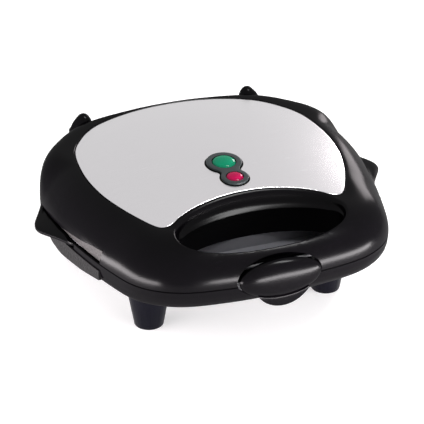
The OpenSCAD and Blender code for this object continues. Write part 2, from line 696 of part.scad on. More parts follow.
// Arm screwed to the lid's rear wall: a boss on the pin, a column and a round top
module hinge_arm(x) difference() {
  intersection() {
    slab_y(arm_front, 130) translate([x, 0]) union() {
      translate([-arm_w / 2, 40]) square([arm_w, arm_top - arm_w / 2 - 40]);
      translate([0, arm_top - arm_w / 2]) circle(arm_w / 2, $fn = fine);
    }
    slab_x(x - 20, x + 20) union() {
      translate([hinge_y, hinge_z]) circle(6.2, $fn = fine);
      translate([115.6, hinge_z]) square([9.8, arm_top - hinge_z - 9]);
      translate([arm_front, lid_z + 0.6]) square([7, arm_top - lid_z]);
      translate([116.4, arm_top - 9]) circle(9, $fn = fine);
    }
  }
  bar_x(x - 20, x + 20, hinge_y, hinge_z, pin_r + run);
  for (z = arm_screw_z) {
    bar_y(100, 130, x, z, 1.8);
    bar_y(121.5, 130, x, z, 3.4);
  }
}
module hinge_arm_left() color(gloss) hinge_arm(-arm_x);
module hinge_arm_right() color(gloss) hinge_arm(arm_x);
module hinge_screws() color(zinc) for (sx = [-1, 1], z = arm_screw_z) {
  bar_y(106, 121.6, sx * arm_x, z, pilot_r);
  bar_y(121.5, 123.3, sx * arm_x, z, 3.2);
}

// Leads in the lid, from the element's ends forward to the lamps' carrier
module lid_wiring() color([0.65, 0.65, 0.6]) for (sx = [-1, 1])
  wire([[sx * element_x, element_rear, joint_z + element_gap],
    [sx * element_x, element_rear + 3, joint_z + element_gap],
    [sx * element_x, element_rear + 3, board_z + 0.7],
    [sx * element_x, 24, board_z + 0.7], [sx * 10, 24, board_z + 0.7],
    [sx * 10, 2, board_z + 0.7]], 1.1);

// ---- latch ---------------------------------------------------------------------

module latch_pin() color(zinc) bar_x(-34, 34, pivot_y, pivot_z, latch_pin_r);

// Domed oval cap that turns on a pin near its top; a finger tab hangs below it
module latch() color(gloss) difference() {
  union() {
    rotate([90, 0, 0]) skin([for (k = [[0.5, 110.8], [0.78, 111.6], [0.88, 113.2], [0.91, 115.8],
        [1, 117.4], [0.985, 118.9], [0.93, 120.9], [0.82, 122.9], [0.65, 124.4], [0.4, 125.2],
        [0.15, 125.45]])
      [for (p = latch_oval(0)) [p.x * k[0], latch_z + (p.y - latch_z) * k[0],
        k[1] + latch_front - 125.5]]]);
    slab_y(-122.2, -118.6) intersection() {
      translate([2, latch_z + 2]) circle(24, $fn = 96);
      translate([-30, 40]) square([60, 22]);
    }
  }
  bar_x(-40, 40, pivot_y, pivot_z, latch_pin_r + run);
}

base_shell();
base_frame();
lower_plate();
lower_element();
lower_reflector();
lower_element_clips();
lower_reflector_screws();
front_foot_left();
front_foot_right();
rear_foot_left();
rear_foot_right();
foot_pads();
base_grip_left();
base_grip_right();
base_screws();
cord_gland();
terminal_block();
thermostat();
base_wiring();
hinge_pins();
clip_pins();
clip_left();
clip_right();
lid_shell();
top_panel();
lamp_bezel();
green_lens();
red_lens();
green_neon();
red_neon();
lamp_carrier();
carrier_screws();
lid_frame();
upper_plate();
upper_element();
upper_reflector();
upper_element_clips();
upper_reflector_screws();
thermal_fuse();
lid_wiring();
hinge_arm_left();
hinge_arm_right();
hinge_screws();
lid_grip_left();
lid_grip_right();
lid_screws();
latch_pin();
latch();
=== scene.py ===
# A two-slice sandwich toaster with a hinged lid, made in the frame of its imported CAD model.
# Lengths are in metres, and the sections follow the object as it is put together.
import math

import bmesh
import bpy
import numpy as np
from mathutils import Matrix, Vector


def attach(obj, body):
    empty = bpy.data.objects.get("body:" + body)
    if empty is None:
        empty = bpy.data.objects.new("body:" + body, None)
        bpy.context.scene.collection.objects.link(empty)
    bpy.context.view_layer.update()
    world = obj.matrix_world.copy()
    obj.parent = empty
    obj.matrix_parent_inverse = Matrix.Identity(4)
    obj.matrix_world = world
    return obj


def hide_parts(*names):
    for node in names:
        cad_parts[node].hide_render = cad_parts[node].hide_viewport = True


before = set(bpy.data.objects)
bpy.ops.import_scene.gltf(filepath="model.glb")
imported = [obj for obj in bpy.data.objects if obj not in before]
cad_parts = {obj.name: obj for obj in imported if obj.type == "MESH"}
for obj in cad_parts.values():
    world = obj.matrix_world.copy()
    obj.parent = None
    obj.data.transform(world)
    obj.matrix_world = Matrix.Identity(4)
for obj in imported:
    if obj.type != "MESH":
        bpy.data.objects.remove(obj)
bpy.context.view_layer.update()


# ---- base housing ---------------------------------------------------------------
# The lower half of the body, one glossy black moulding: an upright rim over a bowl
# that is drawn in to a flat underside, 2.5 mm thick, open at the top.

def curve_loop(half, n):
    """Closed smooth outline in metres: the right half's points in millimetres are mirrored, and each
    span is a Catmull-Rom cubic, half the sum of the four weighted neighbours, at n even steps."""
    half = np.array(half, float) / 1000
    pts = np.vstack([half, half[-2:0:-1] * [-1, 1]])
    a, b, c, d = (np.roll(pts, k, 0)[:, None, :] for k in (1, 0, -1, -2))
    t = (np.arange(n) / n)[None, :, None]
    return (0.5 * (2 * b + (c - a) * t + (2 * a - 5 * b + 4 * c - d) * t ** 2
                   + (3 * b - a - 3 * c + d) * t ** 3)).reshape(-1, 2)


def ring(loop, z):
    """The outline raised to a height z, which is one number or one for each point."""
    return np.column_stack([loop, np.broadcast_to(z, len(loop))])


def loft(name, rings):
    """Closed mesh object through rings of equal length, joined by a grid of quads; the first and
    the last ring are closed with a fan to their mean point."""
    rings = np.array(rings)
    m, n = rings.shape[:2]
    verts = np.vstack([rings.reshape(-1, 3), rings[0].mean(0), rings[-1].mean(0)])
    i, j = np.meshgrid(np.arange(m - 1), np.arange(n), indexing="ij")
    k = (j + 1) % n
    faces = np.stack([i * n + j, i * n + k, (i + 1) * n + k, (i + 1) * n + j],
                     -1).reshape(-1, 4).tolist()
    j, last = np.arange(n), (m - 1) * n
    k = (j + 1) % n
    faces += np.stack([k, j, np.full(n, m * n)], 1).tolist()
    faces += np.stack([last + j, last + k, np.full(n, m * n + 1)], 1).tolist()
    mesh = bpy.data.meshes.new(name)
    mesh.from_pydata(verts.tolist(), [], faces)
    obj = bpy.data.objects.new(name, mesh)
    bpy.context.scene.collection.objects.link(obj)
    face_out(obj)
    return obj


def face_out(obj):
    """Turns the faces of a closed mesh outward where its signed volume, the sum of the triangles'
    triple products, is negative."""
    mesh = obj.data
    mesh.calc_loop_triangles()
    tri = np.empty(len(mesh.loop_triangles) * 3, np.int32)
    mesh.loop_triangles.foreach_get("vertices", tri)
    co = np.empty(len(mesh.vertices) * 3)
    mesh.vertices.foreach_get("co", co)
    p = co.reshape(-1, 3)[tri.reshape(-1, 3)]
    if np.einsum("ij,ij->i", p[:, 0], np.cross(p[:, 1], p[:, 2])).sum() < 0:
        mesh.flip_normals()


def carve(obj, cutters, operation="DIFFERENCE"):
    """Cuts each of the solids out of the object, or joins them to it, and removes them."""
    for c in cutters:
        mod = obj.modifiers.new("cut", "BOOLEAN")
        mod.operation, mod.object, mod.solver = operation, c, "MANIFOLD"
        bpy.context.view_layer.update()
        done = bpy.data.meshes.new_from_object(
            obj.evaluated_get(bpy.context.evaluated_depsgraph_get()))
        obj.modifiers.clear()
        obj.data = done
        bpy.data.objects.remove(c)


def block(name, lo, hi):
    """A box from its lowest to its highest corner, as a loft between two rectangles."""
    (x0, y0, z0), (x1, y1, z1) = lo, hi
    side = np.array([[x0, y0], [x1, y0], [x1, y1], [x0, y1]])
    return loft(name, [ring(side, z0), ring(side, z1)])


def soften(obj, angle=35):
    """Smooth shading except across edges sharper than the angle."""
    obj.data.shade_smooth()
    obj.data.set_sharp_from_angle(angle=math.radians(angle))
    return obj


def material(name, color, rough, metal=0.0, coat=0.0, grain=0.0, scale=800.0, bump=0.0,
             stretch=(1, 1, 1), vary=0.0, glow=0.0, clear=0.0, shine=0.5, film=0.06):
    """A surface in which noise on the object's own coordinates varies the colour by the share vary
    and the roughness by grain, and lifts the surface by bump metres. Shine is the bare surface's
    specular level, film the roughness of the coat over it, glow its own light, and clear the share
    of light that passes through."""
    mat = bpy.data.materials.new(name)
    mat.use_nodes = True
    nodes, links = mat.node_tree.nodes, mat.node_tree.links
    surface = nodes["Principled BSDF"]
    surface.inputs["Metallic"].default_value = metal
    surface.inputs["Coat Weight"].default_value = coat
    surface.inputs["Coat Roughness"].default_value = film
    surface.inputs["Specular IOR Level"].default_value = shine
    surface.inputs["Transmission Weight"].default_value = clear
    surface.inputs["Emission Color"].default_value = (*color, 1)
    surface.inputs["Emission Strength"].default_value = glow
    where = nodes.new("ShaderNodeTexCoord")
    lay = nodes.new("ShaderNodeMapping")
    lay.inputs["Scale"].default_value = stretch
    links.new(where.outputs["Object"], lay.inputs["Vector"])
    noise = nodes.new("ShaderNodeTexNoise")
    noise.inputs["Scale"].default_value = scale
    noise.inputs["Detail"].default_value = 4
    links.new(lay.outputs["Vector"], noise.inputs["Vector"])
    tone = nodes.new("ShaderNodeMapRange")
    tone.inputs["To Min"].default_value = 1 - vary
    tone.inputs["To Max"].default_value = 1 + vary
    links.new(noise.outputs["Fac"], tone.inputs["Value"])
    shade = nodes.new("ShaderNodeVectorMath")
    shade.operation = "SCALE"
    shade.inputs[0].default_value = color
    links.new(tone.outputs["Result"], shade.inputs["Scale"])
    links.new(shade.outputs["Vector"], surface.inputs["Base Color"])
    polish = nodes.new("ShaderNodeMapRange")
    polish.inputs["To Min"].default_value = max(0.0, rough - grain)
    polish.inputs["To Max"].default_value = rough + grain
    links.new(noise.outputs["Fac"], polish.inputs["Value"])
    links.new(polish.outputs["Result"], surface.inputs["Roughness"])
    if bump:
        relief = nodes.new("ShaderNodeBump")
        relief.inputs["Strength"].default_value = 1.0
        relief.inputs["Distance"].default_value = bump
        links.new(noise.outputs["Fac"], relief.inputs["Height"])
        links.new(relief.outputs["Normal"], surface.inputs["Normal"])
    return mat


def paint(obj, mat):
    """Gives the object one material."""
    obj.data.materials.clear()
    obj.data.materials.append(mat)


gloss = material("gloss_black", (0.0012, 0.0010, 0.0014), 0.25, grain=0.02, scale=300, vary=0.1,
                 shine=0.0, coat=0.12, film=0.2)
rim = curve_loop([[0, -117.5], [38, -115.6], [73, -108.3], [97, -90], [110, -60], [120.5, -18],
                  [126.5, 25], [122.7, 66], [100.5, 96], [75.5, 112.6], [36, 117],
                  [0, 117.7]], 12)
underside = curve_loop([[0, -42], [24, -42], [48, -40], [70, -32], [81, -16], [87, 5], [90, 30],
                        [87, 62], [76, 86], [55, 98], [28, 102.5], [0, 103]], 12)
wall = 0.0025
base_top = 0.0664
seam_round = 0.0004


def drawn_in(loop, inset):
    """The outline scaled about the origin, so that it moves in by the inset where it is 120 mm
    out."""
    return loop * (1 - inset / 0.12)


def bowl(name, inset=0, top=1):
    """Rings from the underside up to the rim: each is the rim's outline moved a share of the way to
    the underside's. The share over the height in millimetres runs straight from point to point and
    is evened out once with the weights 1, 2 and 1. With an inset it is the bowl's inside: drawn in,
    raised by 0.98 of the inset, and carried on straight up to the top."""
    share = [1, 0.94, 0.8, 0.5, 0.28, 0.14, 0.07, 0.03, 0.008, 0]
    height = [16, 18.2, 24.5, 37, 44.8, 48.8, 52, 56, 61, 66.4]
    steps = np.concatenate([np.linspace(16, 60, 40), [61, 63, 65, 65.6, 66.4]])
    even = np.interp(steps, height, share)
    even[1:-1] = (even[:-2] + 2 * even[1:-1] + even[2:]) / 4
    raised = steps / 1000 + inset * 0.98
    rings = [ring(drawn_in(rim + (underside - rim) * part, inset), z)
             for part, z in zip(even, raised) if z < top]
    if inset:
        rings.append(ring(drawn_in(rim, inset), top))
    else:
        rings[-1:] = [ring(rim, base_top - seam_round), ring(drawn_in(rim, seam_round), base_top)]
    return loft(name, rings)


latch_half_width, latch_half_height = 0.0316, 0.0145
latch_middle = 0.070


def latch_seat(grow):
    """Solid that cuts the latch's seat into the front: the latch's ellipse, grown, carried from the
    open in front to y -109.6 mm."""
    a = np.linspace(0, 2 * math.pi, 96, endpoint=False)
    x = np.cos(a) * (latch_half_width + grow)
    z = latch_middle + np.sin(a) * (latch_half_height + grow)
    return loft("latch_seat", [np.column_stack([x, np.full(96, y), z]) for y in (-0.14, -0.1096)])


def across(name, yz, x0, x1):
    """Solid with a drawn outline in the YZ plane, between two places along X."""
    return loft(name, [np.column_stack([np.full(len(yz), x), yz]) for x in (x0, x1)])


def disc(middle, radius, first=0, last=360, n=48):
    """Points on an arc about a middle point: the middle plus the radius times (cos, sin)."""
    a = np.radians(np.linspace(first, last, n, endpoint=last - first < 360))
    return np.array(middle) + radius * np.stack([np.cos(a), np.sin(a)], 1)


base = bowl("base_housing")
carve(base, [bowl("base_inside", wall, base_top + 0.001)])

# Ears are joined on beside each hinge arm, round the middle of the hinge pin.
pin = (0.1192, 0.059)
arm_x, ear_off, ear_half, ear_r = 0.0695, 0.0099, 0.0025, 0.0062
ear = np.vstack([[0.106, 0.0528], disc(pin, ear_r, -90, 159, 40), [0.106, 0.0612]])
carve(base, [across("hinge_ear", ear, x - ear_half, x + ear_half)
             for x in (-arm_x - ear_off, -arm_x + ear_off, arm_x - ear_off, arm_x + ear_off)],
      "UNION")

# The latch's seat, the slots of the side levers, the room in which the arms turn, the holes of
# their pins and of the feet, and the notch of the cord's bushing are cut.
slot_front, slot_rear, slot_floor = -0.014, 0.047, 0.0616
room_r, room_half = 0.007, 0.0074
pin_r, pin_half = 0.0025, 0.013
foot_x, front_foot_y, rear_foot_y = 0.072, -0.038, 0.086
cuts = [latch_seat(0.0012)]
for sx in (-1, 1):
    x0, x1 = sorted((sx * 0.115, sx * 0.145))
    cuts.append(block("lever_slot", (x0, slot_front, slot_floor),
                      (x1, slot_rear, slot_floor + 0.020)))
    cuts.append(across("arm_room", disc(pin, room_r), sx * arm_x - room_half,
                       sx * arm_x + room_half))
    cuts.append(across("pin_hole", disc(pin, pin_r), sx * arm_x - pin_half,
                       sx * arm_x + pin_half))
    for y in (front_foot_y, rear_foot_y):
        cuts.append(loft("foot_hole", [ring(disc((sx * foot_x, y), r), z)
                                       for r, z in ((0.0117, 0.005), (0.0177, 0.040))]))
notch = np.array([[-0.040, 0.075], [-0.040, 0.042], [-0.037, 0.039], [-0.031, 0.039],
                  [-0.028, 0.042], [-0.028, 0.075]])
cuts.append(loft("bushing_notch", [np.insert(notch, 1, y, axis=1) for y in (0.100, 0.125)]))
carve(base, cuts)
soften(base)
paint(base, gloss)
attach(base, "base")
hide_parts("base_shell")


# ---- feet ---------------------------------------------------------------------------
# Four tall tapered feet of satin dark grey plastic, let into the bowl, each on a rubber
# pad. Their edges are rounded in the mould.

def rounded_copy(name, node, width, body):
    """The CAD node's mesh with doubles merged, flat faces joined, and its sharp edges rounded over
    a width, where there is one. It rides on the body in the node's place."""
    merged = bmesh.new()
    merged.from_mesh(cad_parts[node].data)
    bmesh.ops.remove_doubles(merged, verts=merged.verts, dist=2e-6)
    bmesh.ops.dissolve_limit(merged, angle_limit=math.radians(1.5), verts=merged.verts,
                             edges=merged.edges)
    mesh = bpy.data.meshes.new(name)
    merged.to_mesh(mesh)
    merged.free()
    obj = bpy.data.objects.new(name, mesh)
    bpy.context.scene.collection.objects.link(obj)
    if width:
        edge = obj.modifiers.new("round", "BEVEL")
        edge.width, edge.segments, edge.limit_method = width, 3, "ANGLE"
        edge.angle_limit, edge.use_clamp_overlap = math.radians(35), True
        bpy.context.view_layer.update()
        obj.data = bpy.data.meshes.new_from_object(
            obj.evaluated_get(bpy.context.evaluated_depsgraph_get()))
        obj.modifiers.clear()
    soften(obj)
    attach(obj, body)
    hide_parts(node)
    return obj


foot_mat = material("foot_grey", (0.0025, 0.0025, 0.004), 0.35, grain=0.04, scale=900, vary=0.15,
                    shine=0.04)
for place in ("front_foot_left", "front_foot_right", "rear_foot_left", "rear_foot_right"):
    paint(rounded_copy(place + "_cone", place, 0.001, "base"), foot_mat)
rubber = material("pad_rubber", (0.02, 0.02, 0.02), 0.8, grain=0.08, scale=2500, vary=0.2,
                  bump=3e-5)
paint(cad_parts["foot_pads"], rubber)


# ---- insides of the base ----------------------------------------------------------------
# A moulded frame over the bowl carries the coated plate. Its grey is partly its own colour and
# partly painted light for the lit ledge under the handle opening. Below hang the tubular element,
# its saddles and the bright reflector. Terminal block, thermostat and leads lie in the bowl, the
# cord's gland sits in its notch, and zinc-plated screws and pins hold it all together.

matt = material("matt_black", (0.022, 0.022, 0.024), 0.5, grain=0.08, scale=1500, vary=0.2,
                bump=2e-5)
coating = material("plate_coating", (0.03, 0.03, 0.032), 0.38, grain=0.1, scale=3500,
                   vary=0.35, bump=2e-5)
# The frame's grey is lighter than the lid's matt black frame: partly its own colour, partly painted
# light for its lit ledge.
grey = material("frame_grey_painted_light", (0.10, 0.10, 0.11), 0.4, grain=0.08, scale=1500, vary=0.15,
                bump=1e-5)
tube = material("element_steel", (0.18, 0.16, 0.14), 0.45, metal=1, grain=0.1, scale=500, vary=0.3)
bright = material("bright_steel", (0.6, 0.6, 0.6), 0.3, metal=1, grain=0.08, scale=200, vary=0.1)
zinc = material("zinc_steel", (0.55, 0.55, 0.57), 0.3, metal=1, grain=0.08, scale=900, vary=0.1)
ivory = material("block_ivory", (0.7, 0.67, 0.58), 0.45, grain=0.08, scale=1200, vary=0.08)
sleeve = material("lead_sleeve", (0.5, 0.5, 0.45), 0.8, grain=0.1, scale=4000, vary=0.3,
                  bump=5e-5)
for node, mat in (("base_frame", grey), ("cord_gland", matt), ("lower_plate", coating),
                  ("lower_element", tube), ("lower_reflector", bright),
                  ("lower_element_clips", zinc), ("lower_reflector_screws", zinc),
                  ("base_screws", zinc), ("hinge_pins", zinc), ("clip_pins", zinc),
                  ("terminal_block", ivory), ("thermostat", ivory), ("base_wiring", sleeve)):
    paint(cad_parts[node], mat)


# ---- side grips and levers ------------------------------------------------------------
# A coarse-grained dark grey band is let into each side of the base below the rim, and a
# glossy lever with a round tab rocks in a slot above it.

grained = material("textured_grey", (0.003, 0.0028, 0.003), 0.5, grain=0.2, scale=520, vary=1.0,
                   bump=6e-4, shine=0.06)
for side in ("left", "right"):
    paint(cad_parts["base_grip_" + side], grained)
    paint(rounded_copy("lever_" + side, "clip_" + side, 0.0009, "clip_" + side), gloss)


# ---- lid housing ------------------------------------------------------------------
# The upper half of the body, a glossy black moulding 2.5 mm thick: its shoulder rises from
# the rim to a gently domed crown. The handle opening goes through its front, rounded over
# at the rear and nearly sharp in front.

crown = curve_loop([[0, -78], [26, -77], [52, -73], [72, -63.5], [83, -42], [92.5, -18],
                    [98.6, 25], [94.5, 62], [82, 85], [60, 102.6], [31, 110], [0, 112]], 12)
panel_line = curve_loop([[0, -46.3], [20, -47.8], [40, -52.6], [55, -59.2], [61.5, -63.7],
                         [67.6, -65], [73, -61.8], [80, -49.7], [88.6, -29.3], [95.7, -4],
                         [98.3, 27], [94.2, 62], [84, 82.2], [66, 99.5], [34, 109.2],
                         [0, 111.7]], 12)
lid_bottom = 0.0668


def outward(loop):
    """Unit normals of a closed plane outline: the central difference along it turned by a right
    angle, away from the outline's middle."""
    t = np.roll(loop, -1, 0) - np.roll(loop, 1, 0)
    t /= np.linalg.norm(t, axis=1)[:, None] + 1e-12
    n = np.stack([t[:, 1], -t[:, 0]], 1)
    area = np.sum(loop[:, 0] * np.roll(loop[:, 1], -1) - loop[:, 1] * np.roll(loop[:, 0], -1))
    return n if area > 0 else -n


def crown_height(p):
    """Height of the lid's crown: 107.9 mm less 10 mm times the square of x and 8 mm times the
    square of y from 29 mm, both counted in units of 101.85 mm."""
    x, y = p[..., 0] / 0.10185, (p[..., 1] - 0.029) / 0.10185
    return 0.1079 - 0.010 * x ** 2 - 0.008 * y ** 2


def ease(low, high, v):
    """Smooth step from 0 to 1 between low and high: three times the square less twice the cube of
    the share of the way."""
    t = np.clip((v - low) / (high - low), 0, 1)
    return t * t * (3 - 2 * t)


def shoulder(u, inset):
    """Ring of the lid's shoulder at u from 0, the rim, to 1, the crown: a superellipse in section,
    drawn in by the inset. Its exponent is 2.1 in front, 1.7 at the sides and 4.8 at the rear."""
    y = rim[:, 1]
    n = 2.1 - 0.4 * ease(-0.095, -0.045, y) + 3.1 * ease(0.0455, 0.091, y)
    low, high = drawn_in(rim, inset), drawn_in(crown, inset)
    away = (1 - np.cos(u * math.pi / 2) ** (2 / n))[:, None]
    rise = np.sin(u * math.pi / 2) ** (2 / n)
    bottom = lid_bottom - (0.001 if inset else 0)
    return np.column_stack([low + (high - low) * away,
                            bottom + (crown_height(crown) - inset - bottom) * rise])


def dome(name, inset):
    """Shoulder rings closed by rings of the crown that shrink towards the middle. The outer face's
    edge at the seam is rounded."""
    rings = [shoulder(u, inset) for u in np.linspace(0, 1, 25)]
    if not inset:
        edge = rings[0]
        rings[:1] = [ring(drawn_in(edge[:, :2], seam_round), edge[:, 2]),
                     edge + [0, 0, seam_round]]
    for k in np.linspace(0.97, 0.02, 30):
        p = drawn_in(crown, inset) * k
        rings.append(ring(p, crown_height(p) - inset))
    return loft(name, rings)


def dome_height(p):
    """Height of the lid's outer face over plan points: the plan outlines between rim and crown are
    tabled by polar angle, and the height is read where the point's radius falls between them."""
    angles = np.linspace(-math.pi, math.pi, 721)
    share = np.linspace(0, 1, 60)
    radius, height = [], []
    for u in share:
        r = shoulder(u, 0)
        a = np.arctan2(r[:, 1], r[:, 0])
        o = np.argsort(a)
        radius.append(np.interp(angles, a[o], np.hypot(r[o, 0], r[o, 1]), period=2 * math.pi))
        height.append(np.interp(angles, a[o], r[o, 2], period=2 * math.pi))
    radius, height = np.array(radius), np.array(height)
    col = np.interp(np.arctan2(p[:, 1], p[:, 0]), angles, np.arange(len(angles)))
    col = col.round().astype(int)
    here = np.hypot(p[:, 0], p[:, 1])
    k = np.clip((radius[:, col] >= here).sum(0), 1, len(share) - 1)
    r0, r1, z0, z1 = radius[k - 1, col], radius[k, col], height[k - 1, col], height[k, col]
    z = z0 + (z1 - z0) * np.clip((r0 - here) / (r0 - r1), 0, 1)
    return np.where(here < radius[-1, col], crown_height(p), z)


def handle_hole(grow):
    """Outline of the handle opening: a superellipse of exponent 2.3 in front of its middle line and
    an ellipse behind it, both grown by the given distance."""
    half_width, front_depth, rear_depth, middle_line = 0.0645, 0.026, 0.031, -0.081
    a = np.linspace(0, 2 * math.pi, 240, endpoint=False)
    c, s = np.cos(a), np.sin(a)
    power = np.where(s < 0, 2 / 2.3, 1.0)
    depth = np.where(s < 0, front_depth, rear_depth) + grow
    return np.column_stack([np.sign(c) * abs(c) ** power * (half_width + grow),
                            middle_line + np.sign(s) * abs(s) ** power * depth])


# The opening's rear edge is a broad lip: it rolls over, falls steeply and turns forward again to a
# crisp edge. Towards the front it narrows to a small round. Both sections are given as distances
# out from the opening's outline and down from the lid's face, from the lowest point up.
hole = handle_hole(0)
normal = outward(hole)
front_y, rear_y = hole[:, 1].min(), hole[:, 1].max()
back = ((hole[:, 1] - front_y) / (rear_y - front_y))[:, None] ** 1.3
rear = [(-0.0030, 0.0130), (-0.0062, 0.0122), (-0.0066, 0.0118), (-0.0060, 0.0112),
        (-0.0042, 0.0101), (-0.0024, 0.0086), (-0.0012, 0.0066), (-0.0006, 0.0046),
        (0, 0.0029), (0.0006, 0.0017), (0.0014, 0.0008), (0.0024, 0.0002), (0.0032, 0)]
front = [(0, 0.0034), (0, 0.0032), (0, 0.0030), (0, 0.0028), (0, 0.0026), (0, 0.0023), (0, 0.0020),
         (0, 0.0017), (0.0001, 0.0012), (0.0003, 0.0007), (0.0007, 0.0003), (0.0012, 0.00006),
         (0.0017, 0)]
rings = [ring(hole, 0.04), ring(hole, 0.075)]
for (rear_out, rear_drop), (front_out, front_drop) in zip(rear, front):
    p = hole + normal * (rear_out * back + front_out * (1 - back))
    rings.append(ring(p, dome_height(p) - (rear_drop * back + front_drop * (1 - back))[:, 0]))
rings += [rings[-1] + [0, 0, 0.0004], ring(p, 0.13)]
hole_cut = loft("hole_cut", rings)

# The hollow leaves a wall 2.2 mm thick round the opening, and solid plastic behind the latch.
lid = dome("lid_housing", 0)
inside = dome("lid_inside", wall)
liner = handle_hole(0.0022)
boss_half, boss_back = 0.037, -0.101
carve(inside, [loft("liner", [ring(liner, 0.04), ring(liner, 0.12)]),
               block("front", (-boss_half, -0.125, 0.06), (boss_half, boss_back, 0.12))])
carve(lid, [inside, hole_cut])

# Seat of the steel panel: 1.5 mm deep, 0.8 mm wider than the panel, with a chamfered edge. Then
# the latch's seat, the notches of the side inserts and the seats of the hinge arms are cut.
away = outward(panel_line)
gap, chamfered = 0.0008, 0.0012
seat = [ring(panel_line + away * g, crown_height(panel_line + away * g) + h)
        for g, h in ((gap, -0.0015), (gap, -0.0003), (chamfered, 0.0001), (chamfered, 0.01))]
arm_seat_half, arm_seat_front = 0.007, 0.112
cuts = [loft("panel_seat", seat), latch_seat(0.0009)]
wedge = np.array([[-0.050, 0.0638], [0.047, 0.0638], [0.047, 0.0684], [0.028, 0.0695],
                  [0.005, 0.0706], [-0.021, 0.0732], [-0.050, 0.0773]])
for sx in (-1, 1):
    x0, x1 = sorted((sx * 0.109, sx * 0.145))
    cuts.append(across("side_notch", wedge, x0, x1))
    cuts.append(block("arm_seat", (sx * arm_x - arm_seat_half, arm_seat_front, 0.06),
                      (sx * arm_x + arm_seat_half, 0.131, 0.12)))
carve(lid, cuts)
soften(lid)
paint(lid, gloss)
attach(lid, "lid")
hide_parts("lid_shell")


# ---- steel panel ------------------------------------------------------------------
# A sheet of satin brushed stainless steel, 1 mm thick, domed like the crown and laid in its
# seat. It is left bare: no print.

def panel_ring(inward, drop):
    """The panel's outline, moved inward, at a drop below the crown."""
    p = panel_line - away * inward
    return ring(p, crown_height(p) - drop)


# A straight cut edge, a rounded corner, and the face, whose rings shrink towards a middle point.
sunk, corner = 0.0001, 0.0004
rings = [panel_ring(0, 0.0011), panel_ring(0, 0.0004), panel_ring(0.00012, 0.00022),
         panel_ring(corner, sunk)]
middle = np.array([0, 0.020])
for k in np.linspace(0.985, 0.02, 40):
    p = middle + (panel_line - away * corner - middle) * k
    rings.append(ring(p, crown_height(p) - sunk))
sheet = loft("top_panel_sheet", [rings[-1] - [0, 0, 0.0009]] + rings)
soften(sheet)
steel = material("panel_steel", (0.60, 0.585, 0.60), 0.26, metal=1, grain=0.03, scale=1600,
                 vary=0.025, stretch=(0.02, 1, 0.2), bump=1.5e-6)
paint(sheet, steel)
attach(sheet, "lid")
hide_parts("top_panel")


# ---- lamps --------------------------------------------------------------------------
# A dark grey bezel in the shape of two joined lobes stands on the panel around a large
# green lens and, in front of it, a small red one, both clear domed mouldings lit by neons.

apart = 0.022
lamps_y = -0.018
lean = math.atan(0.0725)


def arc_loop(parts):
    """Closed outline made of circular arcs: each part is its centre, radius, first and last angle
    in degrees and number of points."""
    return np.vstack([disc(*part) for part in parts])


def on_lid(xy, h):
    """Points at height h over the lamps' own plane, which touches the crown at the lamps and leans
    with it; x and y are counted in that plane from the middle of the lamps."""
    y = xy[:, 1] * math.cos(lean) - h * math.sin(lean)
    z = xy[:, 1] * math.sin(lean) + h * math.cos(lean)
    top = crown_height(np.array([0, lamps_y]))
    return np.column_stack([xy[:, 0], lamps_y + y, top + z])


def lobes(grow):
    """Two circles about the lamps, joined at the waist by arcs that touch both: the arcs' centres
    lie where circles about the lobes, wider by the arcs' radius, meet."""
    big, small, waist = 0.0135 + grow, 0.0103 + grow, 0.005 - grow
    along = (apart ** 2 + (big + waist) ** 2 - (small + waist) ** 2) / (2 * apart)
    out = math.sqrt((big + waist) ** 2 - along ** 2)
    y = apart / 2 - along
    a = math.degrees(math.atan2(y - apart / 2, out))
    b = math.degrees(math.atan2(y + apart / 2, out))
    return arc_loop([((0, apart / 2), big, a, 180 - a, 60), ((-out, y), waist, -a, -b, 14),
                     ((0, -apart / 2), small, 180 - b, 360 + b, 48),
                     ((out, y), waist, 180 + b, 180 + a, 14)])


# The bezel's section, out from the lobes' outline and up from the lamps' plane: a foot in the
# panel's gap, a low wall with a rounded edge, and a top that sinks a little.
section = [(-0.0016, -0.003), (-0.0016, -0.0002), (0, 0), (0, 0.0008), (-0.0003, 0.0013),
           (-0.0009, 0.0015), (-0.0045, 0.0013)]
bezel = loft("lamp_surround", [on_lid(lobes(g), h) for g, h in section])
green_r, red_r, lens_gap = 0.0087, 0.0062, 0.0006
for y, r in ((apart / 2, green_r), (-apart / 2, red_r)):
    spot = disc((0, y), r + lens_gap, n=96)
    carve(bezel, [loft("lens_hole", [on_lid(spot, -0.01), on_lid(spot, 0.01)])])
carve(sheet, [loft("bezel_gap", [on_lid(lobes(0.0011), h) for h in (-0.005, 0.005)])])
soften(bezel)
bezel_mat = material("bezel_grey", (0.024, 0.030, 0.031), 0.35, grain=0.04, scale=900, vary=0.1,
                     shine=0.15)
paint(bezel, bezel_mat)
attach(bezel, "lid")
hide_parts("lamp_bezel")

green = material("green_lens", (0.0, 0.17, 0.085), 0.15, grain=0.01, vary=0.05, shine=0.0,
                 coat=0.3, film=0.12, glow=0.15)
red = material("red_lens", (0.30, 0.0, 0.045), 0.15, grain=0.01, vary=0.05, shine=0.0, coat=0.3,
               film=0.12, glow=0.15)
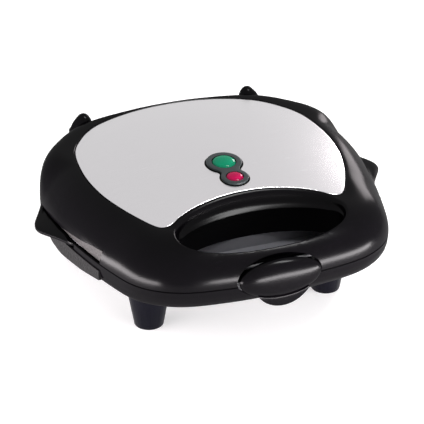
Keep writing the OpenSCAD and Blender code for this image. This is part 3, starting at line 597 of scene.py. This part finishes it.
# Each lens is a straight skirt up to 0.4 mm over the panel, closed by half an ellipsoid.
skirt = 0.0004
for name, y, r, rise, mat in (("green_lens", apart / 2, green_r, 0.0036, green),
                              ("red_lens", -apart / 2, red_r, 0.0030, red)):
    rings = [on_lid(disc((0, y), r, n=96), h) for h in (-0.0025, skirt)]
    rings += [on_lid(disc((0, y), r * math.cos(t), n=96), skirt + (rise - skirt) * math.sin(t))
              for t in np.linspace(0.05, 0.985, 16) * math.pi / 2]
    lens = soften(loft(name + "_dome", rings), 60)
    paint(lens, mat)
    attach(lens, "lid")
    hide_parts(name)
glass = material("neon_glass", (0.85, 0.8, 0.7), 0.05, grain=0.01, vary=0.05, clear=0.9)
board = material("board_brown", (0.5, 0.42, 0.28), 0.5, grain=0.1, scale=1200, vary=0.2)
for node, mat in (("green_neon", glass), ("red_neon", glass), ("lamp_carrier", board),
                  ("carrier_screws", zinc)):
    paint(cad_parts[node], mat)


# ---- insides of the lid ------------------------------------------------------------
# A matt black frame holds the same plate, element and reflector as in the base, turned over,
# with a thermal fuse on the plate, leads to the lamps and screws up into the shell. A
# coarse-grained grey insert fills the wedge-shaped notch in each side.

insert = material("insert_grey", (0.025, 0.023, 0.023), 0.5, grain=0.2, scale=520, vary=1.4,
                  bump=8e-4, shine=0.12)

for node, mat in (("lid_frame", matt), ("upper_plate", coating), ("upper_element", tube),
                  ("upper_reflector", bright), ("upper_element_clips", zinc),
                  ("upper_reflector_screws", zinc), ("lid_screws", zinc), ("latch_pin", matt),
                  ("hinge_screws", zinc), ("thermal_fuse", ivory), ("lid_wiring", sleeve),
                  ("lid_grip_left", insert), ("lid_grip_right", insert)):
    paint(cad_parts[node], mat)


# ---- hinge arms ---------------------------------------------------------------------
# Two glossy black moulded arms, each screwed into a seat in the lid's rear wall and bored
# for its pin. Their heads are domes that stand a little above the lid's rear edge.

def arm_head(sx):
    """Dome over an arm: rings that are superellipses in plan, whose half widths follow a quarter
    ellipse down from the top and flare on the outer side; their exponent grows from 2 to 8."""
    top, tall, domed = 0.1028, 0.0232, 0.0105
    half_width, half_depth = 0.0069, 0.0066
    middle_x, middle_y = sx * 0.0697, 0.1187
    a = np.linspace(0, 2 * math.pi, 72, endpoint=False)
    c, s = np.cos(a), np.sin(a)
    rings = []
    for fall in tall * (1 - np.cos(np.linspace(0.12, math.pi / 2, 26))):
        t = 1 - min(fall, domed) / domed
        n = 2 + 6 * ease(0.010, 0.022, fall)
        size = math.sqrt(1 - t * t)
        flare = 0.45 * min(max(fall - 0.003, 0), domed) * (1 - ease(0.014, tall, fall))
        x = np.sign(c) * abs(c) ** (2 / n) * (half_width * size + np.where(c * sx > 0, flare, 0))
        y = np.sign(s) * abs(s) ** (2 / n) * half_depth * size
        rings.append(ring(np.column_stack([middle_x + x, middle_y + y]), top - fall))
    return loft("arm_head", rings[::-1])


# The arm's upper end is cut off, the domed head takes its place, and the screw's seat is cut.
neck = 0.086
screw_z, screw_r, screw_floor = 0.090, 0.0034, 0.1215
for side, sx in (("left", -1), ("right", 1)):
    arm = rounded_copy("arm_" + side, "hinge_arm_" + side, 0.0, "lid")
    carve(arm, [block("above", (sx * arm_x - 0.02, 0.10, neck), (sx * arm_x + 0.02, 0.14, 0.12))])
    carve(arm, [arm_head(sx)], "UNION")
    screw = disc((sx * arm_x, screw_z), screw_r)
    carve(arm, [loft("screw_seat", [np.insert(screw, 1, y, axis=1)
                                    for y in (screw_floor, 0.135)])])
    soften(arm)
    paint(arm, gloss)


# ---- latch --------------------------------------------------------------------------
# An oval glossy black cap that turns on a pin in the front of the lid, with a thin crescent
# tab below it for a finger. Its back is slimmer than its face, and its middle droops.

def oval_ring(share, y):
    """Ring of the cap at depth y: the latch's ellipse, scaled by a share."""
    a = np.linspace(0, 2 * math.pi, 128, endpoint=False)
    return np.column_stack([np.cos(a) * latch_half_width * share, np.full(128, y),
                            latch_middle + np.sin(a) * latch_half_height * share])


# The face bulges forward by a quarter ellipse, and the droop grows with its height.
edge_y, bulge, droop = -0.1172, 0.0082, 0.0022
rings = [oval_ring(0.5, -0.1108), oval_ring(0.78, -0.1116), oval_ring(0.88, -0.1132),
         oval_ring(0.91, -0.1158), oval_ring(0.985, -0.1170)]
rings += [oval_ring(math.cos(t) ** 0.9, edge_y - bulge * math.sin(t))
          - [0, 0, droop * math.sin(t) ** 2] for t in np.linspace(0, math.pi / 2, 26)[1:-1]]
cap = loft("latch_cap", rings)
# The tab is a crescent: below, an arc of 23 mm about a point 1 mm to the right; above, an ellipse a
# little smaller than the cap's. Its upper front edge is rounded: the section is given as depths and
# as shares of the way from the lower edge to the upper.
tab_x, tab_z, tab_r = 0.001, 0.0711, 0.023
under_half_width, under_half_height = 0.0294, 0.0135
x = np.linspace(-0.0186, 0.0206, 60)[:, None]
high = latch_middle - under_half_height * np.sqrt(1 - (x / under_half_width) ** 2)
low = np.minimum(tab_z - np.sqrt(tab_r ** 2 - (x - tab_x) ** 2), high - 0.0001)
depth = np.array([-0.1186, -0.1214, -0.1218, -0.1218, -0.1216, -0.1212, -0.1206, -0.1186])
share = np.array([0, 0, 0.1, 0.8, 0.92, 0.98, 1, 1])
tab = loft("finger_tab", np.stack(np.broadcast_arrays(x, depth, low + (high - low) * share), -1))
carve(cap, [tab], "UNION")
soften(cap, 40)
paint(cap, gloss)
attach(cap, "latch")
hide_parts("latch")


# ---- floor, light and camera ----------------------------------------------------------
# A plain white floor under the rubber pads in a plain white studio: a long softbox above, two
# low strips at the left and in front, and one softbox behind at the right. The camera looks
# down by 29 degrees, from 21 degrees to the left of the front.

floor_edge = disc((0, 0), 6)
ground = loft("ground", [ring(floor_edge, -0.02), ring(floor_edge, 0)])
white = bpy.data.materials.new("ground_white")
white.use_nodes = True
nodes, links = white.node_tree.nodes, white.node_tree.links
floor_white = nodes["Principled BSDF"]
floor_white.inputs["Base Color"].default_value = (0.8, 0.8, 0.8, 1)
floor_white.inputs["Roughness"].default_value = 0.7
floor_white.inputs["Specular IOR Level"].default_value = 0.1
floor_white.inputs["Emission Color"].default_value = (1, 1, 1, 1)


def background_rays(nodes, links, share):
    """Socket that gives the share to camera, glossy and transmission rays, and 0 to all others."""
    path = nodes.new("ShaderNodeLightPath")
    total = path.outputs["Is Camera Ray"]
    for kind in ("Is Glossy Ray", "Is Transmission Ray"):
        add = nodes.new("ShaderNodeMath")
        add.operation, add.use_clamp = "ADD", True
        links.new(total, add.inputs[0])
        links.new(path.outputs[kind], add.inputs[1])
        total = add.outputs[0]
    scaled = nodes.new("ShaderNodeMath")
    scaled.operation = "MULTIPLY"
    scaled.inputs[1].default_value = share
    links.new(total, scaled.inputs[0])
    return scaled.outputs[0]


# Seen or mirrored, the floor is lifted by 0.4 of white, which lights nothing else.
links.new(background_rays(nodes, links, 0.4), floor_white.inputs["Emission Strength"])
paint(ground, white)

# Seen or mirrored, the studio is plain white, and it lights the object with 0.4 of that.
world = bpy.data.worlds.new("studio")
bpy.context.scene.world = world
world.use_nodes = True
nodes, links = world.node_tree.nodes, world.node_tree.links
back_light = nodes["Background"]
back_light.inputs["Color"].default_value = (1, 1, 1, 1)
back_light.inputs["Strength"].default_value = 0.4
seen = nodes.new("ShaderNodeBackground")
seen.inputs["Color"].default_value = (1, 1, 1, 1)
pick = nodes.new("ShaderNodeMixShader")
links.new(background_rays(nodes, links, 1.0), pick.inputs["Fac"])
links.new(back_light.outputs["Background"], pick.inputs[1])
links.new(seen.outputs["Background"], pick.inputs[2])
links.new(pick.outputs["Shader"], nodes["World Output"].inputs["Surface"])


def softbox(name, place, target, size, power, tint=(1, 1, 1)):
    """Rectangular area light at a place, turned to face the target."""
    light = bpy.data.lights.new(name, "AREA")
    light.shape, light.size, light.size_y = "RECTANGLE", size[0], size[1]
    light.energy, light.color = power, tint
    obj = bpy.data.objects.new(name, light)
    bpy.context.scene.collection.objects.link(obj)
    obj.location = place
    aim = np.array(target, float) - np.array(place, float)
    obj.rotation_mode = "QUATERNION"
    obj.rotation_quaternion = Vector(aim).to_track_quat("-Z", "Y")


softbox("softbox_key", (0.46, -0.48, 1.24), (0, 0, 0.08), (0.22, 0.5), 18)
softbox("softbox_left", (-0.36, -0.08, 0.035), (-0.1, -0.06, 0.06), (0.46, 0.06), 4.6,
        (1, 0.94, 0.96))
softbox("softbox_front", (0.2, -0.38, 0.035), (0.04, -0.11, 0.06), (0.56, 0.06), 7.5,
        (1, 0.96, 0.98))
softbox("softbox_rear", (1.14, 1.02, 0.46), (0, 0, 0.09), (0.38, 0.56), 11.5, (1, 0.93, 0.95))

camera = bpy.data.objects.new("camera", bpy.data.cameras.new("camera"))
bpy.context.scene.collection.objects.link(camera)
camera.data.lens, camera.data.sensor_width = 166.9, 36
camera.data.clip_start, camera.data.clip_end = 0.05, 20
camera.location = (-0.47887, -1.21650, 0.78554)
camera.rotation_mode = "QUATERNION"
looking = Vector((0.31649, 0.81553, -0.48450))
camera.rotation_quaternion = looking.to_track_quat("-Z", "Y")
bpy.context.scene.camera = camera
bpy.context.scene.view_settings.view_transform = "Standard"
